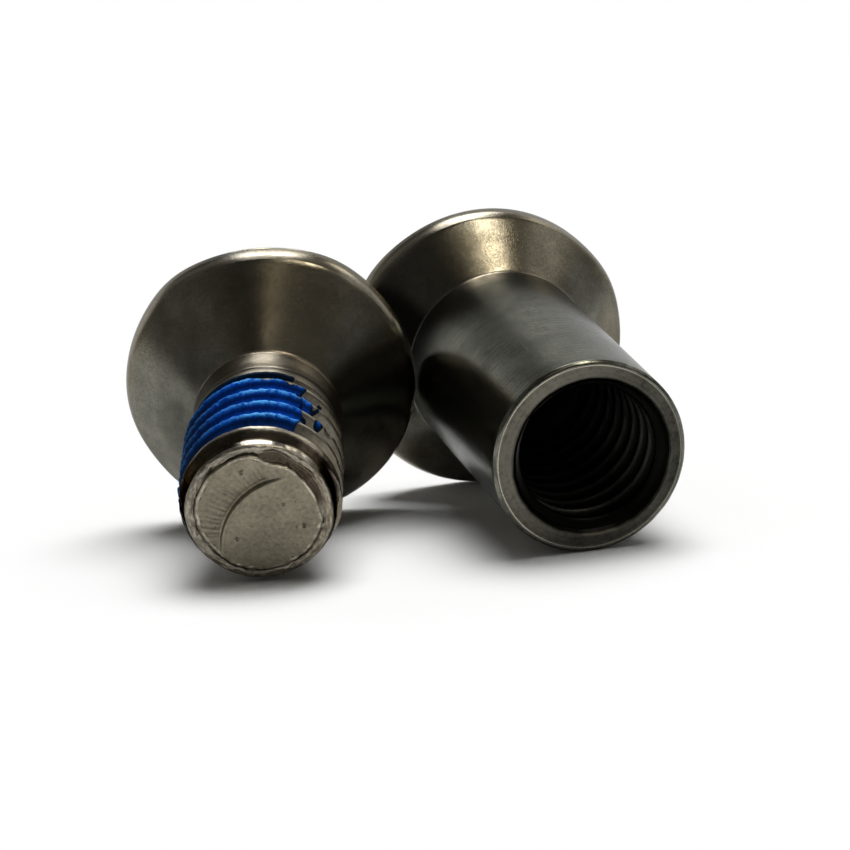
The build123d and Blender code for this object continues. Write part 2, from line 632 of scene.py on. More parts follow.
@dataclass(frozen=True)
class PlatedSteel:
    """Dark nickel-plated steel: how much turning, grain and wear one part of it shows, and the
    colour its painted highlights take.
    """

    name: str
    colour: Colour
    # Colour of rubbed metal, also taken by painted highlights
    worn_and_highlight_colour: Colour = (0.40, 0.36, 0.29)
    roughness: float = 0.27
    contrast: float = 0.35
    grain: float = 9.0
    grain_depth: float = 0.0022
    rings: float = 0.35
    ring_depth: float = 0.0015
    scratches: float = 0.3
    scratch_depth: float = 0.003
    dirt: float = 0.0
    warm: float = 0.5
    edge_tint: float = 0.62

    def shade(self, change: float) -> Colour:
        """The plating's colour, made lighter or darker by a share of itself."""
        return tuple(min(1.0, c * (1.0 + change)) for c in self.colour)

    def plating(self, graph: Graph, vector: Socket, tone: Socket) -> Socket:
        """Colour of the metal: dark to light with its tone, lighter where rubbed and where
        highlights are painted, darker where shade is painted, and soiled.

        Args:
            graph: the material's graph.
            vector: coordinates on the half's axis.
            tone: 0 to 1, with 0.5 the plain metal.

        Returns:
            The colour's socket.
        """
        base = graph.blend(
            graph.spread(tone, 0.25, 0.75), self.shade(-self.contrast), self.shade(self.contrast)
        )
        drift = graph.noise(vector, 0.22, Detail=2.0)
        warmed = graph.spread(drift, 0.42, 0.62, 0.0, self.warm)
        base = graph.blend(warmed, base, WARM_CAST, "MULTIPLY")
        wear_and_painted_light = graph.add("Attribute", attribute_name="wear_and_painted_light").outputs["Fac"]
        rubbed_and_highlight = graph.times(wear_and_painted_light, graph.spread(tone, 0.25, 0.6, 0.45, 1.0), clamp=True)
        base = graph.blend(rubbed_and_highlight, base, self.worn_and_highlight_colour)
        # Where the attribute is negative, painted shade darkens the metal towards near black
        base = graph.blend(graph.times(wear_and_painted_light, -1.0, clamp=True), base, PAINTED_SHADE_COLOUR)
        if self.dirt:
            specks = graph.noise(vector, 5.0, Detail=5.0, Roughness=0.7)
            base = graph.blend(graph.spread(specks, 0.58, 0.72, 0.0, self.dirt), base, GRIME)
        return base

    def material(self, groups: Groups, place: Place) -> Material:
        """Build the material for a half lying at a place.

        Args:
            groups: the shared node groups.
            place: where the half lies, so that rings run round its axis.

        Returns:
            The material.
        """
        material, graph = new_material(self.name)
        vector = place_vector(graph, place)
        grain = graph.group(groups.grain, vector, Grain=self.grain)
        rings = graph.group(groups.turning, vector).outputs["Rings"]
        scratch = graph.group(groups.scratches, vector, Density=self.scratches).outputs["Scratch"]
        tone = graph.plus(grain.outputs["Tone"], graph.times(graph.plus(rings, -0.5), self.rings))

        # The roughness falls as the tone rises, and a scratch is duller than the plating
        rough = graph.spread(tone, 0.25, 0.75, self.roughness + 0.04, self.roughness - 0.03)
        rough = graph.maths("ADD", rough, graph.times(scratch, 0.10), clamp=True)

        height = graph.plus(
            graph.times(grain.outputs["Height"], self.grain_depth),
            graph.times(rings, self.ring_depth),
        )
        height = graph.maths("SUBTRACT", height, graph.times(scratch, self.scratch_depth))
        base = self.plating(graph, vector, tone)
        tint = (self.edge_tint,) * 3 + (1.0,)
        close_material(graph, base, rough, height, Metallic=1.0, Specular_Tint=tint)
        return material


@dataclass(frozen=True)
class BlueNylon:
    """Blue nylon sprayed on hot: smooth where it pooled, darker and thinner at its edges, with
    painted shade and painted highlights on its relief.
    """

    name: str = "blue_nylon"
    colour: Colour = (0.001, 0.092, 0.66)
    rubbed_and_highlight_colour: Colour = (0.09, 0.46, 1.0)
    thin_and_shaded_colour: Colour = (0.002, 0.012, 0.030)
    roughness: float = 0.45
    grain_depth: float = 0.02

    def material(self, groups: Groups, place: Place) -> Material:
        """Build the material for a patch on a half lying at a place.

        Args:
            groups: the shared node groups.
            place: where the half lies.

        Returns:
            The material.
        """
        material, graph = new_material(self.name)
        vector = place_vector(graph, place)
        grain = graph.group(groups.grain, vector, Grain=6.0, Cloud=1.6)
        # Thin nylon and painted shade both darken towards the thin colour
        thin_and_shaded = graph.add("Attribute", attribute_name="wear_and_painted_light").outputs["Fac"]
        tone = graph.spread(grain.outputs["Tone"], 0.3, 0.7, 0.55, 1.0)
        full = graph.times(graph.maths("SUBTRACT", 1.0, thin_and_shaded, clamp=True), tone, clamp=True)
        base = graph.blend(full, self.thin_and_shaded_colour, self.colour)
        # Crests lighter where rubbed and where a highlight is painted
        rubbed_and_highlight = graph.add("Attribute", attribute_name="rubbed_and_highlight").outputs["Fac"]
        flecks = graph.noise(vector, 4.5, Detail=3.0, Roughness=0.6)
        share = graph.times(rubbed_and_highlight, graph.spread(flecks, 0.36, 0.56))
        base = graph.blend(share, base, self.rubbed_and_highlight_colour)
        low, high = self.roughness + 0.08, self.roughness - 0.08
        rough = graph.spread(grain.outputs["Tone"], 0.3, 0.7, low, high)
        height = graph.times(grain.outputs["Height"], self.grain_depth)
        close_material(graph, base, rough, height, IOR=1.53, Specular_IOR_Level=0.03)
        return material


class Steel(Enum):
    """Parts of the two halves that are finished differently."""

    TURNED = PlatedSteel(
        "turned_steel", (0.160, 0.156, 0.128),
        roughness=0.21, contrast=0.42, grain=14.0, grain_depth=0.0045, rings=0.22,
    )
    # Its worn colour takes only the painted warm highlight under the barrel's neck
    SHANK = PlatedSteel(
        "shank_steel", (0.118, 0.119, 0.098), worn_and_highlight_colour=(0.75, 0.66, 0.52), warm=0.0,
        roughness=0.21, contrast=0.5, grain=10.0, grain_depth=0.0036, rings=0.8, ring_depth=0.0022,
    )
    THREAD = PlatedSteel(
        "rolled_thread_steel", (0.165, 0.150, 0.120),
        roughness=0.31, rings=0.15, grain_depth=0.004,
    )
    # Dark copy of the plated steel: painted shade on the taper band and in the fold; its light worn
    # colour takes the rim's painted highlight
    TAPER = PlatedSteel(
        "taper_steel", (0.050, 0.041, 0.030), worn_and_highlight_colour=(0.62, 0.58, 0.50),
        roughness=0.19, rings=0.6, contrast=0.6, edge_tint=0.25,
    )
    SHEARED = PlatedSteel(
        "sheared_end_steel", (0.225, 0.203, 0.150), worn_and_highlight_colour=(0.66, 0.61, 0.50), warm=0.0,
        roughness=0.42, contrast=0.36, grain=7.0, grain_depth=0.007, rings=0.0, dirt=0.6,
    )
    # Its worn colour lightens the lip, and the ring's upper left as painted light
    MOUTH = PlatedSteel(
        "mouth_steel", (0.036, 0.035, 0.029), worn_and_highlight_colour=(0.165, 0.157, 0.125), warm=0.0,
        roughness=0.42, contrast=0.7, grain=5.0, grain_depth=0.007, rings=0.3, dirt=0.6,
    )
    # Near black: painted shade inside the bore and the drive; its worn colour lightens the crests
    # and a patch of painted light
    BORE = PlatedSteel(
        "bore_steel", (0.0045, 0.0045, 0.0040), worn_and_highlight_colour=(0.18, 0.18, 0.16), warm=0.0,
        roughness=0.42, contrast=0.3, rings=0.2, scratches=0.0, edge_tint=0.3,
    )


STEEL_NUMBER = {steel: number for number, steel in enumerate(Steel)}


def steel_materials(groups: Groups, place: Place) -> list[Material]:
    """Every steel finish for a half lying at a place, in the order of their numbers."""
    return [steel.value.material(groups, place) for steel in Steel]


def dress(piece: bpy.types.Object, materials: list[Material], slot: str, *nodes: str) -> None:
    """Give a piece its materials and its body, and hide the nodes it stands for.

    Args:
        piece: the piece.
        materials: its materials, in the order of its faces' numbers.
        slot: not used.
        nodes: names of the solids that it replaces.
    """
    for material in materials:
        piece.data.materials.append(material)
    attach(piece, "root")
    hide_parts(*nodes)
    points, faces = len(piece.data.vertices), len(piece.data.polygons)
    log.info("%s: %d points, %d faces", piece.name, points, faces)


# ---------------------------------------------------------------- the two halves


@dataclass(frozen=True)
class PaintedShadePatch:
    """Painted shade on a cone: its strength, where it lies round it and the heights it fades in."""

    amount: float
    middle: float
    width: float
    low: float
    high: float

    def on(self, turn: Array, height: Array) -> Array:
        """How much painted shade darkens the metal, for rows of heights and columns of turns."""
        along = smoothstep(self.low, self.high, height)[:, None]
        return self.amount * along * bell_at(turn, self.middle, self.width)


@dataclass
class Head:
    """Countersunk head with a hexagon drive, alike on both halves but for its unevenness."""

    seed: int
    lobes: tuple[Spot, ...]
    painted_shade: PaintedShadePatch
    radius: float = 5.4975
    land: float = 0.8
    face_bevel: float = 0.15
    across_flats: float = 4.0
    drive_depth: float = 1.8
    lead_in: float = 0.2
    floor_slope: float = math.tan(math.radians(60.0))
    corner_line: tuple[tuple[float, float], ...] = (
        (0.0, -0.46), (0.003, -0.30), (0.022, -0.16), (0.062, -0.03), (0.13, 0.13),
    )

    def floor_point(self) -> float:
        """Height of the point of the drill mark under the drive."""
        return self.drive_depth + self.across_flats / 2.0 / self.floor_slope

    def corner(self) -> Array:
        """Profile that rolls from the straight land over its corner on to the cone."""
        return rounded([(self.radius - inset, self.land + up) for inset, up in self.corner_line])

    def drive_parts(self, turn: Array) -> list[tuple]:
        """Rows from the drill mark up the hexagon's wall and over its chamfered mouth.

        The wall stands flat / cos(turn from the middle of the nearest flat) from the axis.
        The chamfer meets it where their radii are equal.

        Args:
            turn: angles of the columns.

        Returns:
            Parts for Skin.gather.
        """
        flat, sixth = self.across_flats / 2.0, np.pi / 3.0
        wall = flat / np.cos((turn % sixth) - sixth / 2.0)
        mouth = self.mouth()
        level = np.ones_like(turn)
        floor = np.linspace(0.3, flat - 0.08, 7)
        return [
            (floor, self.floor_point() - floor / self.floor_slope, 0.0, Steel.BORE),
            (np.minimum(wall - 0.05, flat + 0.6), level * self.drive_depth, 0.0, Steel.BORE),
            (wall, level * (self.drive_depth - 0.05), 0.0, Steel.BORE),
            (wall, level * (self.drive_depth - 0.5), 0.0, Steel.BORE),
            (wall, mouth - wall + 0.04, 0.3, Steel.TURNED),
            (wall + 0.02, mouth - wall - 0.01, 0.6, Steel.TURNED),
            (level * (mouth - 0.02), level * 0.025, 0.7, Steel.TURNED),
            (level * (mouth + 0.02), level * 0.002, 0.5, Steel.TURNED),
        ]

    def mouth(self) -> float:
        """Radius of the drive's chamfered mouth."""
        return self.across_flats / 2.0 / math.cos(np.pi / 6.0) + self.lead_in

    def parts(self, turn: Array, profile: Array) -> list[tuple]:
        """Rows from the floor of the drive, over the flat face and down the cone to the neck.

        Each lobe lifts the land's radius by a shallow bell, and the cone under it by a
        share that falls to nothing at the neck.

        Args:
            turn: angles of the columns.
            profile: what carries on from the land, as rows of (radius, height).

        Returns:
            Parts for Skin.gather.
        """
        cone_foot, full, bevel = 3.6, self.radius, self.face_bevel
        flat = full - bevel
        rim = rounded([(flat - 0.05, 0.0), (flat, 0.0), (full, bevel), (full, bevel + 0.06)])
        lobed = 1.0 + bells_round(turn, self.lobes) / full
        face = np.linspace(self.mouth() + 0.05, flat - 0.1, 9)[:, None] + 0.0 * turn
        land = np.linspace(bevel + 0.08, self.land - 0.48, 3)
        chatter = 0.004 * ripple(turn[None, :], np.zeros((1, 1)), self.seed, 40, 0.0)
        radius, height = profile[:, :1], profile[:, 1]
        held = np.clip((radius - cone_foot) / (full - cone_foot), 0.0, 1.0)
        cone = radius * (1.0 - (1.0 - lobed) * held)
        # The land's corner is rubbed lighter; a patch of painted shade darkens one side of the cone
        wear_and_painted_light = 0.6 * bell(height, self.land - 0.08, 0.12)[:, None] - self.painted_shade.on(turn, height)
        return self.drive_parts(turn) + [
            (face, np.zeros(len(face)), 0.0, Steel.TURNED),
            (rim[:, :1] * lobed, rim[:, 1], 0.45, Steel.TURNED),
            (full * lobed + np.minimum(chatter, 0.0), land, 0.15, Steel.TURNED),
            (cone, height, wear_and_painted_light, Steel.TURNED),
        ]


@dataclass
class Thread:
    """Helical groove of a metric thread, read as a depth at any turn and height."""

    start: float
    first: float
    full_from: float
    fade_from: float
    last: float
    pitch: float = 1.0
    depth: float = 0.6134
    crest_flat: float = 0.125
    rounding: float = 0.05

    def rise(self, turn: Array, height: Array) -> Array:
        """Pitches climbed from the first groove: (height - start) / pitch less the turns made."""
        return (height - self.start) / self.pitch - turn / (2.0 * np.pi)

    def travel(self, turn: Array, height: Array) -> tuple[Array, Array]:
        """Where a point lies on the helix.

        The whole number nearest to the rise names the groove, and the rest is the
        distance from that groove's middle.

        Args:
            turn: angles in radians, 0 up to a full turn.
            height: heights in millimetres.

        Returns:
            Turns travelled along the helix from its start, and distance from the groove's
            middle in millimetres.
        """
        rise = self.rise(turn, height)
        groove = np.round(rise)
        return groove + turn / (2.0 * np.pi), (rise - groove) * self.pitch

    def crest_travel(self, turn: Array, height: Array) -> Array:
        """Turns travelled from the thread's start along the crest nearest to a point."""
        return np.round(self.rise(turn, height) - 0.5) + 0.5 + turn / (2.0 * np.pi)

    def cut(self, turn: Array, height: Array) -> Array:
        """Depth of the groove: straight 30 degree flanks between rounded root and crest.

        At both ends the whole section is lifted out of the metal, so the groove narrows
        as it gets shallower.

        Args:
            turn: angles in radians.
            height: heights in millimetres.

        Returns:
            Depths in millimetres, 0 on the crests.
        """
        travelled, offset = self.travel(turn, height)
        half = (1.0 - self.crest_flat) / 2.0 * self.pitch
        run = self.depth * math.tan(math.radians(30.0))
        section = soft_clamp((half - np.abs(offset)) / run, self.rounding)
        entry = smoothstep(self.first, self.full_from, travelled)
        leave = 1.0 - smoothstep(self.fade_from, self.last, travelled)
        return self.depth * np.maximum(section - (1.0 - entry * leave), 0.0)


@dataclass
class Screw:
    """Countersunk screw: head, filleted neck, rolled thread, and the sheared, rolled-over tip."""

    head: Head
    place: Place
    thread: Thread
    length: float = 11.4
    thread_radius: float = 2.98
    blank_radius: float = 2.72
    collar: float = 0.03
    neck_round: float = 0.25
    neck_top: float = 3.684
    cone_end: float = 3.5
    taper_from: float = 10.44
    taper_tilt: float = 0.06
    taper_length: float = 0.56
    taper_to: float = 11.00
    tip_radius: float = 2.725
    dish: float = 0.012
    rows_per_pitch: int = 21
    rim_line: tuple[tuple[float, float], ...] = (
        (0.0, 11.00), (0.022, 11.08), (0.055, 11.19), (0.095, 11.28), (0.150, 11.315),
        (0.225, 11.322), (0.295, 11.315), (0.360, 11.290),
    )
    disc_outline: tuple[tuple[float, float], ...] = (
        (-16.0, 2.24), (0.0, 2.17), (13.0, 2.14), (25.0, 2.09), (40.0, 2.06), (50.0, 2.10),
        (56.0, 2.11), (63.0, 2.02), (72.0, 1.97), (79.0, 2.05), (86.0, 2.18), (94.0, 2.27),
        (102.0, 2.30), (130.0, 2.29), (180.0, 2.25), (230.0, 2.27), (300.0, 2.26), (350.0, 2.27),
    )
    arc_middle: tuple[float, float] = (1.35, -1.50)
    arc_radius: float = 2.82
    arc_drop: float = 0.20
    fold_spots: tuple[Spot, ...] = (
        (116.0, 20.0, 0.20), (62.0, 26.0, 0.18), (14.0, 14.0, 0.09), (228.0, 16.0, 0.12),
        (262.0, 9.0, 0.10), (318.0, 20.0, 0.06), (178.0, 22.0, -0.06), (285.0, 12.0, -0.05),
    )
    pits: tuple[tuple[float, float, float, float], ...] = (
        (-0.506, 1.618, 0.075, 0.10), (1.570, -0.605, 0.070, 0.10), (-0.880, -1.012, 0.065, 0.08),
        (0.887, 0.286, 0.050, 0.06), (1.276, -0.666, 0.045, 0.05), (0.35, 0.62, 0.04, 0.04),
        (-0.30, -0.55, 0.04, 0.04), (0.55, -1.35, 0.05, 0.04), (-1.15, 0.75, 0.05, 0.05),
    )

    def shank(self, turn: Array, height: Array) -> Array:
        """Radius of the metal along the threaded length.

        It is the crest radius, narrowed in a straight taper at the tip, less the groove
        and a slight unevenness of the crests. The thread is rolled from a thinner blank, so
        its first crests swell out of the neck.

        Args:
            turn: angles in radians.
            height: heights in millimetres.

        Returns:
            Radii in millimetres.
        """
        start = self.taper_from - self.taper_tilt * np.cos(turn - np.radians(60.0))
        share = soft_clamp((height - start) / self.taper_length, 0.04)
        full = self.thread_radius + (self.tip_radius - self.thread_radius) * share
        cut = self.thread.cut(turn, height)
        chips = 0.05 * smoothstep(0.8, 1.8, uneven(turn, height, 13, 24, 8.0))
        nicks = np.clip(0.012 * (1.0 + uneven(turn, height, 11, 16, 5.0)) + chips, 0.0, 0.06)
        on_crest = bell(cut, 0.0, 0.12) * smoothstep(5.0, 5.5, height) * (1.0 - share)
        streaks = 0.024 * share * (1.0 - share) * uneven(turn, 0.0 * height, 17, 30, 0.0)
        blank = self.blank_radius + self.collar * smoothstep(4.6, 3.6, height)
        rolled = smoothstep(-0.1, 2.2, self.thread.crest_travel(turn, height))
        swell = blank + (self.thread_radius - blank) * rolled
        return np.minimum(full - cut - nicks * on_crest - streaks, swell)

    def shank_part(self, turn: Array) -> tuple:
        """Rows along the neck, the thread and the taper, with their crests rubbed, a painted
        highlight on the neck and painted shade in the first groove.

        Args:
            turn: angles of the columns.

        Returns:
            A part for Skin.gather.
        """
        span = self.taper_to - self.neck_top
        count = round(span / self.thread.pitch * self.rows_per_pitch)
        height = np.linspace(self.neck_top, self.taper_to, count)[1:-1, None]
        turn = turn[None, :]
        threaded = smoothstep(4.9, 5.2, height) * smoothstep(10.56, 10.46, height)
        crest = 0.55 * bell(self.thread.cut(turn, height), 0.0, 0.06) * threaded
        # Painted highlight on the top of the neck, broken up at random, and painted shade along the
        # first groove
        highlight_breakup = uneven(turn, height, 83, 14, 6.0, 3)
        on_neck = smoothstep(4.50, 4.34, height + 0.10 * highlight_breakup) * (0.8 + 0.4 * highlight_breakup)
        painted_highlight = on_neck * (bell_at(turn, 88.0, 20.0) + 0.4 * bell_at(turn, 48.0, 20.0))
        painted_shade = 0.8 * bell(height - turn / (2.0 * np.pi), 4.84, 0.14)
        return self.shank(turn, height), height, crest + painted_highlight - painted_shade, Steel.THREAD

    def end_height(self, x: Array, y: Array) -> Array:
        """Height of the sheared end face at (x, y) from the axis.

        Outside a circle that crosses the face the metal drops sharply and climbs back
        gently, exp(-d / 0.5) with d the distance from the circle, fading out at both ends
        of the crossing. Small round pits are bells cut into it.

        Args:
            x: distances to the right, in millimetres.
            y: distances upwards.

        Returns:
            Heights in millimetres.
        """
        across, above = x - self.arc_middle[0], y - self.arc_middle[1]
        outside = np.hypot(across, above) - self.arc_radius
        bearing = np.degrees(np.arctan2(above, across))
        along = bearing % 360.0
        held = smoothstep(92.0, 118.0, along) * (1.0 - smoothstep(168.0, 194.0, along))
        climb = np.exp(-np.maximum(outside - 0.08, 0.0) / 0.50)
        drop = self.arc_drop * smoothstep(-0.02, 0.10, outside) * climb
        lip = 0.016 * bell(outside, -0.05, 0.04)
        torn = smoothstep(0.05, 0.3, outside) * (1.0 - smoothstep(0.8, 1.4, outside))
        drag = 0.007 * torn * ripple(np.radians(bearing), 0.0 * x, 23, 160, 0.0)
        height = self.length - self.dish + held * (lip + drag - drop)
        for px, py, width, depth in self.pits:
            height = height - depth * bell(np.hypot(x - px, y - py), 0.0, width)
        wavy = 0.006 * ripple(x, y, 21, 3, 2.5)
        return np.minimum(height + np.minimum(wavy, 0.006) - 0.006, self.length)

    def tip_parts(self, turn: Array) -> list[tuple]:
        """Rows over the rolled rim, down into the fold beside it and over the end face.

        The rim is a rounded line whose inner side grows more ragged. Where the disc's
        edge draws in, the rim spreads after it and sinks. The fold runs down from the rim
        to the foot of the disc's edge, and its depth is a sum of bells round the axis.

        Args:
            turn: angles of the columns.

        Returns:
            Parts for Skin.gather.
        """
        level = np.zeros_like(turn)
        rough = uneven(turn, level, 5, 12, 0.0, 5)
        burr = uneven(turn, level, 65, 20, 0.0, 4)
        slow = ripple(turn, level, 8, 5, 0.0)
        where, reach = np.array(self.disc_outline).T
        disc = np.interp(np.degrees(turn), where, reach, period=360.0) + 0.022 * rough
        notch = smoothstep(2.20, 1.90, disc)

        line = rounded([(self.tip_radius - inset, at) for inset, at in self.rim_line])
        share = np.linspace(0.0, 1.0, len(line))[:, None]
        inner = share**2
        crumple = uneven(turn[None, :], 3.0 * share, 71, 40, 6.0, 3)
        radius = line[:, :1] + share * 0.035 * rough + notch * inner * 0.14
        radius = radius + bell(share, 0.65, 0.22) * 0.024 * burr
        height = line[:, 1:] + inner * (0.024 * burr - 0.02) - notch * inner * 0.11
        height = height + 0.018 * bell(share, 0.6, 0.3) * (crumple - 0.6)
        # The rim's inner side is rubbed lighter at random; a painted highlight lies on its top
        # round 80 and 46 degrees
        worn = np.clip(0.30 + 0.55 * crumple, 0.0, 1.0) * smoothstep(0.25, 0.5, share)
        painted_highlight = smoothstep(27.0, 17.0, np.abs(turn_gap(turn, 80.0))) + bell_at(turn, 46.0, 9.0)
        painted_highlight = painted_highlight * (0.8 + 0.4 * burr) * smoothstep(0.95, 0.6, share)
        rim_lightening = np.clip(np.maximum(worn, painted_highlight), 0.0, 1.0)

        # The fold takes the taper finish, whose dark colour is painted shade
        depth = 0.030 + 0.03 * slow + 0.03 * rough + bells_round(turn, self.fold_spots)
        depth = np.maximum(depth, 0.02)
        down = np.linspace(0.15, 1.0, 8)[:, None]
        foot_radius, foot_height = disc + 0.03 + 0.10 * depth, self.length - self.dish - depth
        fold_radius = radius[-1] + (foot_radius - radius[-1]) * down
        fold_height = height[-1] + (foot_height - height[-1]) * down**1.3
        fold_height = fold_height + 0.040 * notch * down * (1.0 - down) * burr
        fold_wear = 0.28 * smoothstep(0.13, 0.05, depth)

        edge = np.array([(0.015, -0.80), (0.0, -0.38), (-0.02, -0.12), (-0.05, 0.0), (-0.09, 0.0)])
        edge_radius = disc + edge[:, :1] * (1.0 + 0.5 * burr)
        face = self.end_height(edge_radius * np.cos(turn), edge_radius * np.sin(turn))
        lumps = np.array([0.0, 0.5, 1.0, 0.6, 0.1])[:, None] * 0.03 * np.clip(burr, -1.0, 0.4)
        raised = np.array([0.0, 0.6, 1.0, 0.5, 0.1])[:, None] * 0.020 * bell_at(turn, 62.0, 18.0)
        edge_height = np.minimum(face + edge[:, 1:] * depth + lumps + raised, self.length)
        # The disc's edge is rubbed lighter at random, with a painted highlight round 55 degrees
        rubbed_and_highlight = np.clip(0.35 + 0.5 * burr + bell_at(turn, 55.0, 26.0), 0.0, 1.0)
        edge_wear_and_highlight = np.array([0.0, 0.4, 1.0, 0.8, 0.2])[:, None] * rubbed_and_highlight

        rings = np.linspace(1.0, 0.02, 60)[:, None] * (disc - 0.12)
        rings_height = self.end_height(rings * np.cos(turn), rings * np.sin(turn))
        return [
            (radius, np.minimum(height, self.length), rim_lightening, Steel.THREAD),
            (fold_radius, fold_height, fold_wear, Steel.TAPER),
            (edge_radius, edge_height, edge_wear_and_highlight, Steel.SHEARED),
            (rings, rings_height, 0.0, Steel.SHEARED),
        ]

    def build(self, groups: Groups) -> bpy.types.Object:
        """Build and dress the screw.

        Args:
            groups: the shared node groups.

        Returns:
            The piece.
        """
        turn = columns_round()
        profile = cone_to_shank(
            self.head.corner(), self.blank_radius + self.collar, self.neck_round, self.neck_top,
            np.linspace(45.0, 2.0, 9), 20,
        )
        parts = self.head.parts(turn, profile) + [self.shank_part(turn)] + self.tip_parts(turn)
        skin = Skin.gather(turn, parts)
        skin.refinish(Steel.TURNED, Steel.THREAD, self.cone_end)
        # The taper band takes the dark taper finish, a painted shade
        skin.refinish(Steel.THREAD, Steel.TAPER, self.taper_from, self.taper_to + 0.16)
        middle = float(self.end_height(np.zeros(1), np.zeros(1))[0])
        piece = closed_turning("screw_body", self.place, skin, self.head.floor_point(), middle)
        dress(piece, steel_materials(groups, self.place), "dark_steel", "screw")
        return piece


@dataclass
class LockingPatch:
    """Nylon skin bonded over the thread, following its crests, flanks and roots."""

    screw: Screw
    begin_turns: tuple[float, ...] = (40.0, 80.0, 100.0, 128.0, 160.0, 214.0)
    begin_rises: tuple[float, ...] = (1.50, 1.42, 1.36, 0.95, 0.70, 0.60)
    right_edge: float = 61.0
    left_edge: tuple[float, float] = (192.0, 212.0)
    end_rise: float = 5.40
    spatter: tuple[tuple[float, float, float, float, float], ...] = (
        (56.0, 3.0, 2.42, 0.10, 1.0), (57.5, 3.5, 1.70, 0.12, 1.0), (50.5, 4.5, 2.70, 0.20, 1.1),
        (54.0, 3.5, 2.60, 0.14, 1.0), (37.0, 2.5, 1.72, 0.10, 0.9), (41.0, 3.5, 3.62, 0.14, 0.8),
        (46.0, 2.0, 2.36, 0.07, 0.6), (66.0, 3.0, 0.68, 0.10, 0.5),
    )
    first_turn: float = 32.0
    last_turn: float = 214.0
    low: float = 5.05
    high: float = 10.62
    rows: int = 168
    columns: int = 220
    thickness: float = 0.045
    pool: float = 0.15
    buried: float = 0.03

    def cover(self, turn: Array, height: Array) -> Array:
        """How much nylon there is: 1 where it is full, 0 where the metal is bare.

        It is full between a ragged edge on the right and a faded one on the left, and
        from the first turns to just short of the last crest. It creeps further along the
        flank of each groove than over the crests: as a smear before its first turn, and as
        a flecked film and a spatter of spots past its right edge.

        Args:
            turn: angles in radians.
            height: heights in millimetres.

        Returns:
            Values from 0 to 1.
        """
        thread = self.screw.thread
        offset, rise = thread.travel(turn, height)[1], thread.rise(turn, height)
        degrees = np.degrees(turn)
        ragged = ripple(turn * 3.0, height, 31, 9, 11.0)
        blobs = ripple(turn * 2.0, height, 37, 7, 5.0)
        flecks = smoothstep(-0.75, -0.05, uneven(turn * 2.0, height, 47, 8, 5.0, 2))
        flank = bell(offset, -0.33, 0.17)

        past_edge = degrees - self.right_edge + 3.0 * flank - 4.0 * ragged - 3.0 * blobs
        right = smoothstep(-1.5, 2.0, past_edge)
        left = 1.0 - smoothstep(*self.left_edge, degrees + 4.0 * blobs)
        begun = rise - np.interp(degrees, self.begin_turns, self.begin_rises) + 0.05 * blobs
        start = smoothstep(0.0, 0.16, begun + 0.04 * ragged)
        stop = 1.0 - smoothstep(self.end_rise - 0.04, self.end_rise + 0.05, rise + 0.015 * ragged)

        smear = (0.42 + 0.10 * smoothstep(92.0, 124.0, degrees)) * (0.8 + 0.2 * flecks)
        smear = smear * smoothstep(-1.0, -0.86, begun + 0.05 * (ragged - blobs))
        smear = smear * flank * smoothstep(52.0, 84.0, degrees + 7.0 * blobs)
        film = 0.46 * flecks * flank * smoothstep(38.0, 50.0, degrees + 5.0 * (ragged + blobs))
        film = film * smoothstep(1.2, 1.4, rise) * (1.0 - smoothstep(3.9, 4.1, rise))
        spots = sum(
            size * bell(degrees, middle, wide) * bell(rise, at, tall)
            for middle, wide, at, tall, size in self.spatter
        )
        full = np.maximum(np.maximum(start, smear) * right, film) * stop * left
        return np.clip(full + spots * (0.25 + 0.75 * flecks), 0.0, 1.0)

    def thinness_and_shade(self, turn: Array, height: Array, cut: Array, cover: Array) -> Array:
        """How dark and thin the nylon looks: thin at its edges and in the last groove, with painted
        shade far round, on the flanks and in the roots.

        Args:
            turn: angles in radians.
            height: heights in millimetres.
            cut: depth of the thread's groove.
            cover: how much nylon there is.

        Returns:
            Values from 0 on thick, lit nylon to 1 on a mere stain or in full painted shade.
        """
        degrees = np.degrees(turn)
        # Painted shade far round the side, away from the light
        far_side_shade = 0.88 * smoothstep(100.0, 152.0, degrees)
        last = 0.75 * smoothstep(9.40, 9.62, height - (degrees - 90.0) / 360.0)
        last = last * (1.0 - 0.5 * smoothstep(100.0, 125.0, degrees))
        # Painted shade on the flanks and in the roots
        flank = 0.80 * bell(cut, 0.19, 0.09) + 0.5 * smoothstep(0.36, 0.6, cut)
        thick_and_lit = smoothstep(0.5, 1.0, cover) * (1.0 - flank) * (1.0 - far_side_shade) * (1.0 - last)
        return np.clip(1.0 - thick_and_lit, 0.0, 1.0)

    def build(self, groups: Groups) -> bpy.types.Object:
        """Build and dress the patch as a closed shell, its bare edges sunk into the metal.

        The outer wall stands off the metal by the cover times a thickness that grows in
        the roots, where the nylon pooled; the inner wall lies under the metal's surface.

        Args:
            groups: the shared node groups.

        Returns:
            The piece.
        """
        turn = np.radians(np.linspace(self.first_turn, self.last_turn, self.columns))[None, :]
        height = np.linspace(self.low, self.high, self.rows)[:, None]
        turn, height = np.broadcast_arrays(turn, height)
        metal = self.screw.shank(turn, height)
        cut = self.screw.thread.cut(turn, height)
        cover = self.cover(turn, height)
        grain = 0.012 * ripple(turn * 4.0, height, 41, 14, 16.0)
        grain = np.clip(grain + 0.010 * ripple(turn * 9.0, height, 43, 16, 6.0), -0.02, 0.02)
        pooled = self.pool * smoothstep(0.25, 0.62, cut)
        sunk = self.buried * (1.0 - smoothstep(0.02, 0.25, cover))
        stand = cover * (self.thickness + pooled + grain) - sunk

